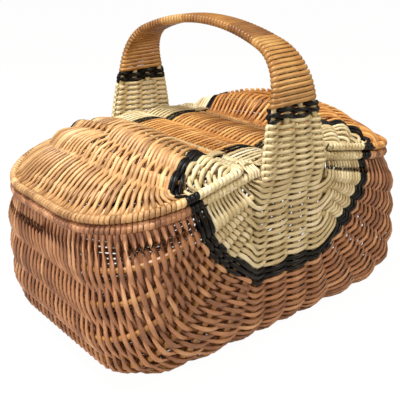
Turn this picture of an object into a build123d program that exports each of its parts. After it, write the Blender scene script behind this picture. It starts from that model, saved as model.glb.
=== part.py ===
"""Willow picnic basket with a fixed centre strip, two hinged lids and one arched handle.

A frame basket: the rim hoop and four handle hoops cross at two poles, front and back.
Ribs fan out from the poles, and willow weavers run across them, so every rib lies in a
plane through the axis that joins the poles. X runs along the basket, Y from the front
pole to the back pole, and Z up, with the floor at Z = 0. All sizes are millimetres.
"""
from build123d import *
import math
import os

# Rim hoop, measured on its centre line
RIM_HALF_LENGTH = 215.0
RIM_HALF_WIDTH = 136.5
RIM_WAIST_HALF_WIDTH = 125.3
RIM_WAIST_HALF_LENGTH = 48.0
RIM_END_DROP = 30.0
RIM_CORNER_RADIUS = 90.0
RIM_WAIST_RADIUS = 120.0
RIM_ROD_RADIUS = 5.0

# Woven body, measured on the centre lines of its ribs
RIM_OVERHANG = 2.5
BODY_HALF_LENGTH = RIM_HALF_LENGTH - RIM_OVERHANG
BODY_HALF_WIDTH = RIM_HALF_WIDTH - RIM_OVERHANG
BODY_DEPTH = 192.0
POLE_TUCK = 4.0
POLE_HALF_WIDTH = BODY_HALF_WIDTH - POLE_TUCK
SECTION_POWER = 8.0
WALL_CORNER_RADIUS = 76.0
BASE_CORNER_RADIUS = 36.0
CORNER_POWER = 1.7
RIB_ANGLES = [16.5, 25.0, 33.0, 41.0, 50.0, 61.0]
RIB_RADIUS = 3.0
RIB_START_X = 52.0
KEEL_ANGLE = 70.0
VALLEY_DEPTH = 3.3

# Weavers and the clearances between pieces
WEAVER_THICKNESS = 4.0
SEAT_GAP = 0.3
ZONE_GAP = 0.3
FLOOR_CUT = 0.5
POLE_EYE_RADIUS = 54.0
WHITE_TOP = 24.0
WHITE_RADIUS = 110.0
BAND_RADIUS = 126.0
RIM_TO_WEAVE = 5.8

# Handle: four hoops side by side, measured on the middle of their row
HOOP_RADIUS = 3.0
HOOP_OFF_RIM = 12.2
HOOP_BASE_HALF_WIDTH = RIM_WAIST_HALF_WIDTH + HOOP_OFF_RIM
HOOP_INSIDE_TUCK = 5.8
HOOP_INSIDE_HALF_WIDTH = BODY_HALF_WIDTH - HOOP_INSIDE_TUCK
HOOP_INSIDE_DEPTH = 30.0
HOOP_WALL_TUCK = 3.5
HOOP_WALL_HALF_WIDTH = BODY_HALF_WIDTH - HOOP_WALL_TUCK
LEG_LEAN = 5.5
LEG_TOP_HALF_WIDTH = HOOP_BASE_HALF_WIDTH - LEG_LEAN
LEG_HEIGHT = 76.0
SHOULDER_RADIUS = 50.0
SHOULDER_END_ANGLE = 70.0
HOOP_ROW_BASE = 39.0
HOOP_ROW_TOP = 9.3
HOOP_ROW_POWER = 1.25
HOOP_ROW_BOTTOM = 51.0
HOOP_JOINT_GAP = 0.4
WRAP_THICKNESS = 3.4
WRAP_CLEARANCE = 0.3
WRAP_BEVEL = 0.4
BAND_FOOT = 51.0
BAND_HEAD = 64.0
SLEEVE_MIDDLE = 26.0
SLEEVE_DROP = 20.0

# Fixed centre strip and its two hinge bars
BAR_X = 50.0
BAR_RADIUS = 4.5
BAR_END_GAP = 3.5
STAKE_X = 17.0
STAKE_RADIUS = 3.5
STAKE_LENGTH_GAP = 0.9
STRIP_HALF_WIDTH = 42.5
STRIP_WHITE_Y = 86.0
STRIP_BAND_Y = 76.0

# Lids
LID_ROD_RADIUS = 4.5
LID_LIFT = 0.4
LID_BAR_GAP = 1.2
LID_CORNER_RADIUS = 9.0
LID_RIB_RADIUS = 2.5
LID_RIB_SHARES = [0.2, 0.4, 0.6, 0.8]
LID_RISE_INNER = 30.0
LID_RISE_CREST = 40.0
LID_RISE_OUTER = 34.0
LID_RISE_EDGE = 19.0
LID_RIB_RISES = [LID_RISE_INNER, LID_RISE_CREST, LID_RISE_OUTER, LID_RISE_EDGE]
LID_RIB_END_Y = 112.0
LID_DOME_POWER = 2.4
LID_VALLEY_DEPTH = 3.0
LID_WHITE_RIM_X = 118.0
LID_BAND_RIM_X = 134.0

# Willow hinge rings
RING_Y = 81.0
RING_WIDTH = 9.0
RING_THICKNESS = 1.6
RING_CLEARANCE = 0.35

BODY_OUTER = RIB_RADIUS + SEAT_GAP + WEAVER_THICKNESS
AXIS_Z = BODY_DEPTH + BODY_OUTER - FLOOR_CUT
RIM_SLOPE = math.atan(RIM_END_DROP / (RIM_HALF_LENGTH - RIM_WAIST_HALF_LENGTH))
LID_RAISE = (RIM_ROD_RADIUS + LID_ROD_RADIUS + LID_LIFT) / math.cos(RIM_SLOPE)
LID_HINGE_X = BAR_X + BAR_RADIUS + LID_ROD_RADIUS + LID_BAR_GAP
SIDES = 8
CORNER_STEP = math.radians(13)
RIB_CORNER_STEPS = 6


def lid_plane_z(x):
    """Height of the lid frame's centre line above the pole axis, at a distance x from the middle."""
    return LID_RAISE - (x - RIM_WAIST_HALF_LENGTH) * math.tan(RIM_SLOPE)


BAR_Z = lid_plane_z(LID_HINGE_X)


def save(shape, name):
    """Writes one named piece."""
    export_step(shape, f"parts/{name}.step")


def faceted(rings, closed=False):
    """A solid through rings of equal count, with flat triangles between each ring and the next."""
    faces = []
    count = len(rings[0])
    pairs = list(zip(rings, rings[1:]))
    if closed:
        pairs.append((rings[-1], rings[0]))
    for here, there in pairs:
        for i in range(count):
            j = (i + 1) % count
            faces.append(Face(Wire.make_polygon([here[i], here[j], there[j]])))
            faces.append(Face(Wire.make_polygon([here[i], there[j], there[i]])))
    if not closed:
        faces.append(Face(Wire.make_polygon(rings[0])))
        faces.append(Face(Wire.make_polygon(rings[-1])))
    return Solid(Shell(faces))


def rod(points, radius, reference, closed=False):
    """A round rod through the points, kept from twisting by a reference direction."""
    rings = []
    line = [Vector(*p) for p in points]
    count = len(line)
    for i, point in enumerate(line):
        before = line[i - 1] if closed or i else line[0]
        after = line[(i + 1) % count] if closed or i < count - 1 else line[-1]
        run = (after - before).normalized()
        side = (Vector(*reference) - run * run.dot(Vector(*reference))).normalized()
        other = run.cross(side)
        ring = []
        for k in range(SIDES):
            turn = 2 * math.pi * k / SIDES
            ring.append(point + side * (radius * math.cos(turn)) + other * (radius * math.sin(turn)))
        rings.append(ring)
    return faceted(rings, closed)


def rounded_points(corners, radii):
    """Points of a closed line through the corners, each corner rounded to its own radius."""
    points = [Vector(*c) for c in corners]
    count = len(points)
    line = []
    for i, (corner, radius) in enumerate(zip(points, radii)):
        back = (points[i - 1] - corner).normalized()
        ahead = (points[(i + 1) % count] - corner).normalized()
        half = math.acos(max(-1.0, min(1.0, back.dot(ahead)))) / 2
        spread = math.pi - 2 * half
        reach = radius / math.tan(half)
        centre = corner + (back + ahead).normalized() * (radius / math.sin(half))
        first = corner + back * reach - centre
        last = corner + ahead * reach - centre
        steps = max(2, round(spread / CORNER_STEP))
        for k in range(steps + 1):
            turn = spread * k / steps
            a = math.sin(spread - turn) / math.sin(spread)
            b = math.sin(turn) / math.sin(spread)
            line.append(centre + first * a + last * b)
    return line


# The fan of ribs and the woven body
def body_reach(angle):
    """Distance from the pole axis to the rib's middle, in the plane at this angle below the rim."""
    across = (abs(math.cos(angle)) / BODY_HALF_LENGTH) ** SECTION_POWER
    down = (abs(math.sin(angle)) / BODY_DEPTH) ** SECTION_POWER
    return (across + down) ** (-1 / SECTION_POWER)


def square_share(angle):
    """How much longer an outward offset is in the fan plane than square to the body's surface."""
    step = 0.001
    turn = (body_reach(angle + step) - body_reach(angle - step)) / (2 * step)
    return math.sqrt(1 + (turn / body_reach(angle)) ** 2)


def corner_radius(angle):
    """Corner radius of the rib: wide at the rim, tighter towards the keel."""
    share = math.sin(angle) ** CORNER_POWER
    return WALL_CORNER_RADIUS + (BASE_CORNER_RADIUS - WALL_CORNER_RADIUS) * share


def fan_plane(angle):
    """The plane through the pole axis: its x runs outwards from the axis, its y along the axis."""
    outwards = (-math.cos(angle), 0, -math.sin(angle))
    normal = Vector(*outwards).cross(Vector(0, 1, 0))
    return Plane(origin=(0, 0, AXIS_Z), x_dir=outwards, z_dir=normal)


def side_line(angle, offset, pole_offset):
    """Straight side of a section, moved outwards: its pole end, its corner end and the corner arc."""
    reach = body_reach(angle) + offset
    radius = corner_radius(angle) + offset
    pole = Vector(0, -(POLE_HALF_WIDTH + pole_offset))
    centre = Vector(reach - radius, -(BODY_HALF_WIDTH + offset - radius))
    apart = centre - pole
    tilt = math.atan2(apart.Y, apart.X) - math.asin(radius / apart.length)
    run = math.sqrt(apart.length ** 2 - radius ** 2)
    touch = pole + Vector(math.cos(tilt), math.sin(tilt)) * run
    return pole, touch, centre, reach, radius


def at_radius(pole, touch, radius):
    """The point of the straight side that lies this far from the pole axis."""
    share = radius / touch.X
    return pole + (touch - pole) * share


def rib_line(angle, offset, start, pole_offset=0.0):
    """Half-hoop from the front side, round both corners, to the back side, as points of the fan plane."""
    pole, touch, centre, reach, radius = side_line(angle, offset, pole_offset)
    front = [at_radius(pole, touch, start)]
    first = math.atan2(touch.Y - centre.Y, touch.X - centre.X)
    for k in range(RIB_CORNER_STEPS + 1):
        turn = first * (1 - k / RIB_CORNER_STEPS)
        front.append(centre + Vector(math.cos(turn), math.sin(turn)) * radius)
    return front + [Vector(p.X, -p.Y) for p in reversed(front)]


def weave_plane(angle):
    """As fan_plane, but lowered near the rim, so that the weave and its ribs clear the rim hoop."""
    plane = fan_plane(angle)
    dip = RIM_TO_WEAVE * math.cos(angle) ** 4
    return Plane(origin=(0, 0, AXIS_Z - dip), x_dir=plane.x_dir, z_dir=plane.z_dir)


def in_place(plane, points):
    """Points of a plane, brought to the basket's frame."""
    return [plane.from_local_coords(Vector(p.X, p.Y, 0)) for p in points]


def rib(angle_deg, side):
    """One rib, from beside the front leg of the handle to beside the back leg."""
    angle = math.radians(angle_deg if side < 0 else 180 - angle_deg)
    start = RIB_START_X / math.cos(math.radians(angle_deg))
    plane = weave_plane(angle)
    return rod(in_place(plane, rib_line(angle, 0, start)), RIB_RADIUS, plane.z_dir)


def weave_stations():
    """Angle and outward offset of each section: ridges over the ribs, valleys between them."""
    top = math.degrees(math.atan(RIM_END_DROP / RIM_HALF_LENGTH))
    ridges = [top, *RIB_ANGLES, KEEL_ANGLE]
    stations = []
    for a, b in zip(ridges, ridges[1:]):
        stations.append((a, RIB_RADIUS + SEAT_GAP))
        if b < KEEL_ANGLE:
            stations.append(((a + b) / 2, RIB_RADIUS + SEAT_GAP - VALLEY_DEPTH))
    stations.append((KEEL_ANGLE, HOOP_RADIUS + SEAT_GAP))
    left = [(math.radians(a), o) for a, o in stations]
    keel = [(math.radians(90), HOOP_RADIUS + SEAT_GAP)]
    right = [(math.pi - a, o) for a, o in reversed(left)]
    return left + keel + right


def pole_offset(face):
    """Outward offset of the weave at the pole, where it crosses the handle hoops."""
    return HOOP_RADIUS + SEAT_GAP + face


def long_weave():
    """Natural willow between the two dark bands: both sides, both ends and the base."""
    rings = []
    start = BAND_RADIUS + ZONE_GAP
    for angle, offset in weave_stations():
        share = square_share(angle)
        inner = rib_line(angle, offset * share, start, pole_offset(0))
        outer = rib_line(angle, (offset + WEAVER_THICKNESS) * share, start, pole_offset(WEAVER_THICKNESS))
        rings.append(in_place(weave_plane(angle), inner + outer[::-1]))
    below = Box(4 * BODY_HALF_LENGTH, 4 * BODY_HALF_WIDTH, 2 * BODY_DEPTH, align=(Align.CENTER, Align.CENTER, Align.MAX))
    return faceted(rings) - below


def fan_weave(inner_radius, outer_radius, side):
    """A half ring of weave round one pole, from the rim on one side to the rim on the other."""
    rings = []
    for angle, offset in weave_stations():
        start = inner_radius
        if inner_radius == POLE_EYE_RADIUS:
            start = min(inner_radius, WHITE_TOP / math.sin(angle))
        corners = []
        for face in (0.0, WEAVER_THICKNESS):
            pole, touch = side_line(angle, (offset + face) * square_share(angle), pole_offset(face))[:2]
            corners.append([at_radius(pole, touch, r) for r in (start, outer_radius)])
        (a, b), (c, d) = corners
        rings.append(in_place(weave_plane(angle), [Vector(p.X, side * p.Y) for p in (a, b, d, c)]))
    return faceted(rings)


# The rim hoop
def rim_outline():
    """Corners of the rim, seen from above, with its drop at the ends."""
    x, y = RIM_HALF_LENGTH, RIM_HALF_WIDTH
    waist_x, waist_y = RIM_WAIST_HALF_LENGTH, RIM_WAIST_HALF_WIDTH
    quarter = [(waist_x, -waist_y, 0, RIM_WAIST_RADIUS), (x, -y, -RIM_END_DROP, RIM_CORNER_RADIUS)]
    right = quarter + [(a, -b, c, r) for a, b, c, r in reversed(quarter)]
    left = [(-a, b, c, r) for a, b, c, r in reversed(right)]
    return right + left


def rim_hoop():
    """Round willow rod bent into the rim."""
    outline = rim_outline()
    line = rounded_points([(x, y, AXIS_Z + z) for x, y, z, _ in outline], [r for *_, r in outline])
    return rod(line, RIM_ROD_RADIUS, (0, 0, 1), closed=True)


# The handle hoops and their wraps
def shoulder_centres():
    """Start of the shoulder, and the centres of the shoulder and crown arcs, in Y and Z."""
    lean = math.atan2(HOOP_BASE_HALF_WIDTH - LEG_TOP_HALF_WIDTH, LEG_HEIGHT)
    start = (-LEG_TOP_HALF_WIDTH, LEG_HEIGHT)
    shoulder = (start[0] + SHOULDER_RADIUS * math.cos(lean), start[1] - SHOULDER_RADIUS * math.sin(lean))
    end = math.radians(SHOULDER_END_ANGLE)
    meet = (shoulder[0] - SHOULDER_RADIUS * math.cos(end), shoulder[1] + SHOULDER_RADIUS * math.sin(end))
    crown_radius = -meet[0] / math.cos(end)
    crown = (0.0, meet[1] - crown_radius * math.sin(end))
    return lean, shoulder, crown, crown_radius


def arch_points():
    """Stations of the handle's middle line, front leg to crown, as Y, Z above the rim."""
    lean, shoulder, crown, crown_radius = shoulder_centres()
    leg = [leg_point(z) for z in (0.0, SLEEVE_MIDDLE, BAND_FOOT, BAND_HEAD)]
    steps = 6
    for i in range(steps + 1):
        turn = lean + (math.radians(SHOULDER_END_ANGLE) - lean) * i / steps
        leg.append((shoulder[0] - SHOULDER_RADIUS * math.cos(turn), shoulder[1] + SHOULDER_RADIUS * math.sin(turn)))
    for i in range(1, 5):
        turn = math.radians(SHOULDER_END_ANGLE + (90 - SHOULDER_END_ANGLE) * i / 4)
        leg.append((crown[0] - crown_radius * math.cos(turn), crown[1] + crown_radius * math.sin(turn)))
    return leg


def crown_height():
    """Height of the handle's middle line above the rim, at its top."""
    return arch_points()[-1][1]


def row_half_width(z):
    """Half the spread of the four hoops: wide at the base, close together at the crown."""
    if z <= 0:
        return HOOP_ROW_BASE + (HOOP_ROW_BOTTOM - HOOP_ROW_BASE) * (-z / BODY_DEPTH)
    share = z / crown_height()
    return HOOP_ROW_TOP + (HOOP_ROW_BASE - HOOP_ROW_TOP) * (1 - share ** HOOP_ROW_POWER)


def keel_points():
    """The hoops' run below the rim: down the front wall, round the corner and along the base."""
    radius = BASE_CORNER_RADIUS
    down = [leg_point(-SLEEVE_DROP), leg_point(-HOOP_INSIDE_DEPTH)]
    down.append((-HOOP_WALL_HALF_WIDTH, -BODY_DEPTH + radius))
    for i in range(1, 7):
        turn = math.radians(15 * i)
        down.append((
            -HOOP_WALL_HALF_WIDTH + radius * (1 - math.cos(turn)),
            -BODY_DEPTH + radius * (1 - math.sin(turn)),
        ))
    return down


def handle_hoop(place):
    """One closed hoop, from its butt joint under the base round the handle. place runs from -1 to 1."""
    front = [(-HOOP_JOINT_GAP / 2, -BODY_DEPTH)] + keel_points()[::-1] + arch_points()
    back = [(-y, z) for y, z in reversed(front[:-1])]
    points = [(place * row_half_width(z), y, AXIS_Z + z) for y, z in front + back]
    return rod(points, HOOP_RADIUS, (1, 0, 0))


def wrap_ring(y, z, tangent, grow):
    """Corners of a wrap's section, square to the handle, round the row of hoops."""
    half_width = row_half_width(z) + HOOP_RADIUS + grow
    half_thickness = HOOP_RADIUS + grow
    bevel = half_thickness * WRAP_BEVEL
    out = Vector(0, -tangent[1], tangent[0]).normalized()
    ring = []
    for across, up in ((1, -1), (1, 1), (-1, 1), (-1, -1)):
        wide = (half_width, half_width - bevel)
        high = (half_thickness - bevel, half_thickness)
        order = (0, 1) if across * up > 0 else (1, 0)
        for k in order:
            ring.append(Vector(across * wide[k], y, AXIS_Z + z) + out * (up * high[k]))
    return ring


def wrap(stations):
    """A hollow sleeve round the hoops through the stations."""
    outer, inner = [], []
    for i, (y, z) in enumerate(stations):
        before = stations[max(i - 1, 0)]
        after = stations[min(i + 1, len(stations) - 1)]
        tangent = (after[0] - before[0], after[1] - before[1])
        outer.append(wrap_ring(y, z, tangent, WRAP_CLEARANCE + WRAP_THICKNESS))
        inner.append(wrap_ring(y, z, tangent, WRAP_CLEARANCE))
    return faceted(outer) - faceted(inner)


def leg_point(z):
    """Point of the leg's middle line at a height above the rim, on the front side."""
    if z < 0:
        share = -z / HOOP_INSIDE_DEPTH
        return (-HOOP_BASE_HALF_WIDTH + (HOOP_BASE_HALF_WIDTH - HOOP_INSIDE_HALF_WIDTH) * share, z)
    share = z / LEG_HEIGHT
    return (-HOOP_BASE_HALF_WIDTH + (HOOP_BASE_HALF_WIDTH - LEG_TOP_HALF_WIDTH) * share, z)


def to_back(shape):
    """The same piece on the back leg."""
    return shape.mirror(Plane.XZ)


def grip_stations():
    """Stations of the natural wrap over the crown, from band to band."""
    half = [p for p in arch_points() if p[1] > BAND_HEAD + 6]
    front = [leg_point(BAND_HEAD + ZONE_GAP)] + half
    return front + [(-y, z) for y, z in reversed(front[:-1])]


# The fixed centre strip
def cross_rod(x, z, radius, half_length):
    """A straight round rod across the basket."""
    return Pos(x, 0, AXIS_Z + z) * Rot(90, 0, 0) * Cylinder(radius, 2 * half_length)


STAKE_Z = RIM_ROD_RADIUS + STAKE_RADIUS + 0.2
STRIP_Z = STAKE_Z + STAKE_RADIUS + SEAT_GAP
SLEEVE_INNER_Y = -leg_point(STRIP_Z + WEAVER_THICKNESS)[0] - HOOP_RADIUS - WRAP_CLEARANCE - WRAP_THICKNESS
STRIP_END_Y = SLEEVE_INNER_Y - STAKE_LENGTH_GAP


def strip_weave(y_from, y_to):
    """A stretch of the strip's weave, resting on the stakes."""
    length = y_to - y_from
    middle = (y_from + y_to) / 2
    return Pos(0, middle, AXIS_Z + STRIP_Z + WEAVER_THICKNESS / 2) * Box(2 * STRIP_HALF_WIDTH, length, WEAVER_THICKNESS)


# The lids
def lid_outline():
    """Corners of the left lid's frame in plan, with their bending radii."""
    near = (-LID_HINGE_X, -side_y(LID_HINGE_X), LID_CORNER_RADIUS)
    far = (-RIM_HALF_LENGTH, -RIM_HALF_WIDTH, RIM_CORNER_RADIUS)
    return [near, far, (far[0], -far[1], far[2]), (near[0], -near[1], near[2])]


def lid_frame():
    """The lid's bent frame rod: straight at the hinge, following the rim round the end."""
    outline = lid_outline()
    line = rounded_points([(x, y, AXIS_Z + lid_plane_z(-x)) for x, y, _ in outline], [r for *_, r in outline])
    return rod(line, LID_ROD_RADIUS, (0, 0, 1), closed=True)


def side_y(x):
    """Middle of the rim's long side at x; the lid frame follows it."""
    slope = (RIM_HALF_WIDTH - RIM_WAIST_HALF_WIDTH) / (RIM_HALF_LENGTH - RIM_WAIST_HALF_LENGTH)
    return RIM_WAIST_HALF_WIDTH + slope * (x - RIM_WAIST_HALF_LENGTH)


def widened(y, x):
    """Y of a section line of the lid: the lines spread with the frame's sides away from the hinge."""
    inside = LID_ROD_RADIUS + SEAT_GAP
    return y * (side_y(x) - inside) / (side_y(LID_HINGE_X) - inside)


def frame_reach(y):
    """How far along X this section line runs before it meets the frame's inner side."""
    radius = RIM_CORNER_RADIUS - LID_ROD_RADIUS - SEAT_GAP
    centre_x = RIM_HALF_LENGTH - RIM_CORNER_RADIUS
    slope = (side_y(1) - side_y(0))
    centre_y = side_y(centre_x) - RIM_CORNER_RADIUS * math.sqrt(1 + slope ** 2)
    x = centre_x
    for _ in range(6):
        over = max(abs(widened(y, x)) - centre_y, 0)
        x = centre_x + math.sqrt(max(radius ** 2 - over ** 2, 0))
    return x


def lid_point(share, rise, y):
    """A point of the lid's lower face: share runs from the hinge rod to the far frame rod."""
    near = LID_HINGE_X + LID_ROD_RADIUS + RING_CLEARANCE + RING_THICKNESS + SEAT_GAP
    x = near + (frame_reach(y) - near) * share
    dome = 1 - (abs(y) / RIM_HALF_WIDTH) ** LID_DOME_POWER
    return x, widened(y, x), lid_plane_z(x) + rise * dome


def lid_profile():
    """Shares and rises of the lid's section: ridges over the ribs and valleys between."""
    shares = [0.0, *LID_RIB_SHARES, 1.0]
    rises = [0.0, *LID_RIB_RISES, 0.0]
    profile = [(shares[0], rises[0])]
    for i in range(1, len(shares)):
        profile.append(((shares[i - 1] + shares[i]) / 2, (rises[i - 1] + rises[i]) / 2 - LID_VALLEY_DEPTH / 2))
        profile.append((shares[i], rises[i]))
    return profile


def lid_edge_y():
    """Inner side of the frame's front run, where the weave ends."""
    return side_y(LID_HINGE_X) - LID_ROD_RADIUS - SEAT_GAP - 0.6


LID_STATIONS = [0.0, 45.0, 70.0, 90.0, 105.0, 114.0, lid_edge_y()]


def lid_shell():
    """The whole lid's weave as one corrugated shell through sections across the lid."""
    rings = []
    for y in [-s for s in LID_STATIONS[:0:-1]] + LID_STATIONS:
        low = [lid_point(share, rise, y) for share, rise in lid_profile()]
        ring = [Vector(-x, wide, AXIS_Z + z) for x, wide, z in low]
        ring += [Vector(-x, wide, AXIS_Z + z + WEAVER_THICKNESS) for x, wide, z in reversed(low)]
        rings.append(ring)
    return faceted(rings)


def lid_zones(shell):
    """The shell split into natural willow, the two dark bands and the two white corners."""
    def sector(strip_y, rim_x):
        edge = 2 * RIM_HALF_WIDTH
        run = (rim_x - BAR_X) / (RIM_HALF_WIDTH - strip_y)
        far = BAR_X + run * (edge - strip_y)
        corner = [(0, -strip_y), (-BAR_X, -strip_y), (-far, -edge), (0, -edge)]
        return extrude(make_face(Wire.make_polygon([Vector(*p) for p in corner])), amount=3 * AXIS_Z)

    white_cut = sector(STRIP_WHITE_Y, LID_WHITE_RIM_X)
    band_cut = sector(STRIP_BAND_Y, LID_BAND_RIM_X)
    front_white = shell & white_cut
    front_band = (shell & band_cut) - white_cut
    natural = shell - band_cut - to_back(band_cut)
    return natural, front_band, front_white


def ridge_slope(share):
    """Steepest slope of the lid's weave beside the ridge at this share, on the lid's middle line."""
    line = [lid_point(s, r, 0.0) for s, r in lid_profile()]
    place = [s for s, _ in lid_profile()].index(share)
    here = line[place]
    beside = (line[place - 1], line[place + 1])
    return max(math.atan2(abs(here[2] - p[2]), abs(here[0] - p[0])) for p in beside)


def lid_rib(share, rise):
    """One lid rib under its ridge, lofted through the same stations as the weave."""
    drop = (LID_RIB_RADIUS + SEAT_GAP) / math.cos(ridge_slope(share))
    stops = [s for s in LID_STATIONS if s < LID_RIB_END_Y] + [LID_RIB_END_Y]
    line = []
    for y in [-s for s in stops[:0:-1]] + stops:
        x, wide, z = lid_point(share, rise, y)
        line.append((-x, wide, AXIS_Z + z - drop))
    return rod(line, LID_RIB_RADIUS, (0, 0, 1))


def hinge_ring(y):
    """A flat willow ring that holds the lid's rod to the fixed bar, free to turn on the bar."""
    middle = (BAR_X + LID_HINGE_X) / 2
    hole = BAR_RADIUS + RING_CLEARANCE
    plane = Plane(origin=(-middle, y + RING_WIDTH / 2, AXIS_Z + BAR_Z), x_dir=(1, 0, 0), z_dir=(0, -1, 0))
    apart = LID_HINGE_X - BAR_X
    band = SlotCenterToCenter(apart, 2 * (hole + RING_THICKNESS)) - SlotCenterToCenter(apart, 2 * hole)
    return extrude(plane * band, amount=RING_WIDTH)


def lid(side_name, place):
    """Writes one lid; place mirrors the left lid to the right."""
    def turned(shape):
        return place(shape)

    shell = lid_shell()
    natural, front_band, front_white = lid_zones(shell)
    save(turned(lid_frame()), f"{side_name}_lid_frame")
    for i, (share, rise) in enumerate(zip(LID_RIB_SHARES, LID_RIB_RISES), start=1):
        save(turned(lid_rib(share, rise)), f"{side_name}_lid_rib_{i}")
    save(turned(natural), f"{side_name}_lid_weave")
    save(turned(front_band), f"{side_name}_lid_band_front")
    save(turned(to_back(front_band)), f"{side_name}_lid_band_back")
    save(turned(front_white), f"{side_name}_lid_white_front")
    save(turned(to_back(front_white)), f"{side_name}_lid_white_back")
    rings = Compound([hinge_ring(-RING_Y), hinge_ring(RING_Y)])
    save(turned(rings), f"{side_name}_hinge_rings")


def main():
    """Builds and writes every piece."""
    os.makedirs("parts", exist_ok=True)
    save(rim_hoop(), "rim_hoop")
    for i, place in enumerate((-1, -1 / 3, 1 / 3, 1), start=1):
        save(handle_hoop(place), f"handle_hoop_{i}")
    for i, angle in enumerate(RIB_ANGLES, start=1):
        save(rib(angle, -1), f"left_rib_{i}")
        save(rib(angle, 1), f"right_rib_{i}")
    save(long_weave(), "body_weave")
    for side, end in ((1, "front"), (-1, "back")):
        save(fan_weave(POLE_EYE_RADIUS, WHITE_RADIUS, side), f"body_white_{end}")
        save(fan_weave(WHITE_RADIUS + ZONE_GAP, BAND_RADIUS, side), f"body_band_{end}")

    save(wrap(grip_stations()), "handle_grip_wrap")
    band = wrap([leg_point(BAND_FOOT + ZONE_GAP), leg_point(BAND_HEAD)])
    sleeve = wrap([leg_point(z) for z in (-SLEEVE_DROP, 0, SLEEVE_MIDDLE, BAND_FOOT)])
    save(band, "handle_band_front")
    save(to_back(band), "handle_band_back")
    save(sleeve, "handle_sleeve_front")
    save(to_back(sleeve), "handle_sleeve_back")

    bar_half = RIM_WAIST_HALF_WIDTH - BAR_END_GAP
    for side, x in (("left", -BAR_X), ("right", BAR_X)):
        save(cross_rod(x, BAR_Z, BAR_RADIUS, bar_half), f"{side}_hinge_bar")
    stakes = [cross_rod(x, STAKE_Z, STAKE_RADIUS, STRIP_END_Y) for x in (-STAKE_X, STAKE_X)]
    save(Compound(stakes), "strip_stakes")
    save(strip_weave(-STRIP_BAND_Y, STRIP_BAND_Y), "strip_weave")
    band = strip_weave(-STRIP_WHITE_Y, -STRIP_BAND_Y - ZONE_GAP)
    white = strip_weave(-STRIP_END_Y, -STRIP_WHITE_Y - ZONE_GAP)
    save(band, "strip_band_front")
    save(to_back(band), "strip_band_back")
    save(white, "strip_white_front")
    save(to_back(white), "strip_white_back")

    lid("left", lambda shape: shape)
    lid("right", lambda shape: shape.mirror(Plane.YZ))


main()
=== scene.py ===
"""Dresses the willow picnic basket: weavers, bindings, rods, light and camera.

The CAD nodes give the rods that the weavers cross. Every woven zone is rebuilt here strand by
strand. Sizes are millimetres in the basket's own frame, and meshes are written in metres.
"""

import logging
import math
from dataclasses import dataclass, field
from enum import Enum
from typing import Callable

import bpy
import numpy as np
from mathutils import Matrix, Vector


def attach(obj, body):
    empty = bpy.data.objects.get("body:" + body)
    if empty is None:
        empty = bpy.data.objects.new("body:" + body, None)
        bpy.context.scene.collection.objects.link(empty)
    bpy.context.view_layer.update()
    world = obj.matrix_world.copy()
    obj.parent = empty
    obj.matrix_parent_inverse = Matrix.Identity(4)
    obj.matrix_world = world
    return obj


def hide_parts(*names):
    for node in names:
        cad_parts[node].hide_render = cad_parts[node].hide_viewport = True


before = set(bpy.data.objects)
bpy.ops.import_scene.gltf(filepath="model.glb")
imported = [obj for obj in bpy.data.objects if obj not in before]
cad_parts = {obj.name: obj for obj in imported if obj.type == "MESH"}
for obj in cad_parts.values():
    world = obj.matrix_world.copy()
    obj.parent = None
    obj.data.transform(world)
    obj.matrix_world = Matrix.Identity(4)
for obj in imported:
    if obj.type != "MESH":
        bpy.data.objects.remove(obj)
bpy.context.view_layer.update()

LOG = logging.getLogger("basket")
MM = 0.001
# Each sub-assembly adds its own number to the seed, so that no two meshes draw the same strands
SEED = 8

# The rim hoop, and the height of the line through both poles, as in the CAD part
AXIS_Z = 198.8
RIM_LENGTH = 215.0
RIM_WIDTH = 136.5
RIM_DROP = 30.0
RIM_CORNER = 90.0
RIM_RADIUS = 5.0
RIM_STEP = 3.0
WAIST_WIDTH = 125.3
WAIST_LENGTH = 48.0
WAIST_BEND = 120.0

# The body under the rim and its ribs
RIM_OVERHANG = 2.5
BODY_HALF_LENGTH = RIM_LENGTH - RIM_OVERHANG
BODY_HALF_WIDTH = RIM_WIDTH - RIM_OVERHANG
BODY_DEPTH = 192.0
POLE_TUCK = 4.0
POLE_HALF_WIDTH = BODY_HALF_WIDTH - POLE_TUCK
SECTION_POWER = 8.0
WALL_CORNER = 76.0
BASE_CORNER = 36.0
CORNER_POWER = 1.7
DIP = 5.8
DIP_POWER = 4
RIB_ANGLES = (16.5, 25.0, 33.0, 41.0, 50.0, 61.0)
RIB_RADIUS = 3.0
RIB_START_X = 52.0
RIB_START_GAP = 4.0

# The four hoops of the handle, and the row that they stand in
HOOP_RADIUS = 3.0
HOOP_OFF_RIM = 12.2
HOOP_BASE_Y = WAIST_WIDTH + HOOP_OFF_RIM
HOOP_INSIDE_TUCK = 5.8
HOOP_INSIDE_Y = BODY_HALF_WIDTH - HOOP_INSIDE_TUCK
HOOP_INSIDE_Z = 30.0
HOOP_WALL_TUCK = 3.5
HOOP_WALL_Y = BODY_HALF_WIDTH - HOOP_WALL_TUCK
LEG_LEAN = 5.5
LEG_TOP_Y = HOOP_BASE_Y - LEG_LEAN
LEG_HEIGHT = 76.0
SHOULDER_RADIUS = 50.0
SHOULDER_END = 70.0
ROW_BASE = 39.0
ROW_TOP = 9.3
ROW_POWER = 1.25
ROW_BOTTOM = 51.0
BAND_FOOT = 51.0
BAND_HEAD = 64.0

# The hinge bars and the stakes of the fixed strip
BAR_X = 50.0
BAR_RADIUS = 4.5
STAKE_X = 17.0
STAKE_RADIUS = 3.5
STAKE_Z = 8.7
STRIP_END_Y = 128.0

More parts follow.
